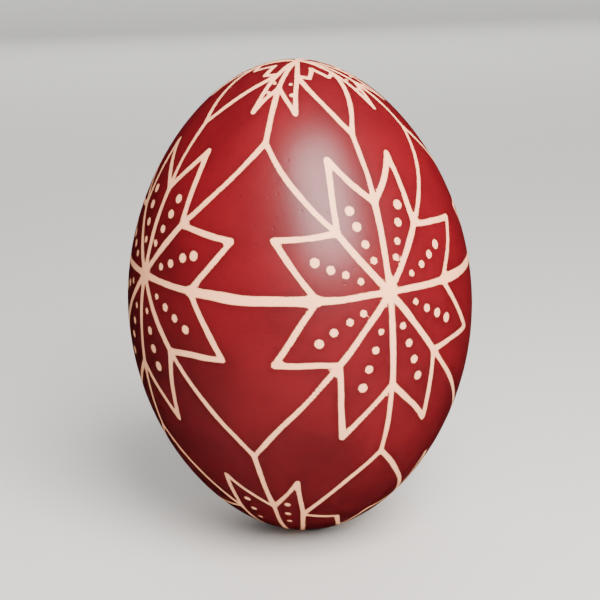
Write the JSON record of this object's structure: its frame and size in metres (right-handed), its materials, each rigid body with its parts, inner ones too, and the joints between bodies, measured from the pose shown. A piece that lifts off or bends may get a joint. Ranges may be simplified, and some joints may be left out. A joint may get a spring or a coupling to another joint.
{
  "type": "decorated egg",
  "caption": "Whole hen's egg with a dyed shell and resist-drawn star net, over membranes, whites, twisted cords and a yolk that turns about the long axis.",
  "frame": {"origin": "the tip of the blunt end, on the egg's long axis, at its lowest point", "axes": "+Z along the long axis towards the pointed end; one star of the drawn belt faces 28 degrees to the right of -Y"},
  "size_m": [0.043, 0.043, 0.06],
  "materials": {
    "dyed_shell": "satin",
    "shell_membrane": "matte",
    "thin_white": "gloss",
    "thick_white": "gloss",
    "chalaza": "satin",
    "vitelline_membrane": "satin",
    "yolk": "satin",
    "germinal_disc": "satin",
    "white_yolk": "satin"
  },
  "bodies": {
    "egg": {"eggshell": "dyed_shell", "outer_shell_membrane": "shell_membrane", "inner_shell_membrane": "shell_membrane", "outer_thin_white": "thin_white", "thick_white": "thick_white", "inner_thin_white": "thin_white", "chalaza_pointed_end": "chalaza", "chalaza_blunt_end": "chalaza"},
    "yolk_ball": {"vitelline_membrane": "vitelline_membrane", "yolk": "yolk", "germinal_disc": "germinal_disc", "latebra": "white_yolk"}
  },
  "joints": [
    {"name": "yolk_turn", "type": "hinge", "parent": "egg", "child": "yolk_ball", "pos_m": [0, 0, 0.0305], "axis": [0, 0, 1], "range_deg": [-180, 180]}
  ]
}
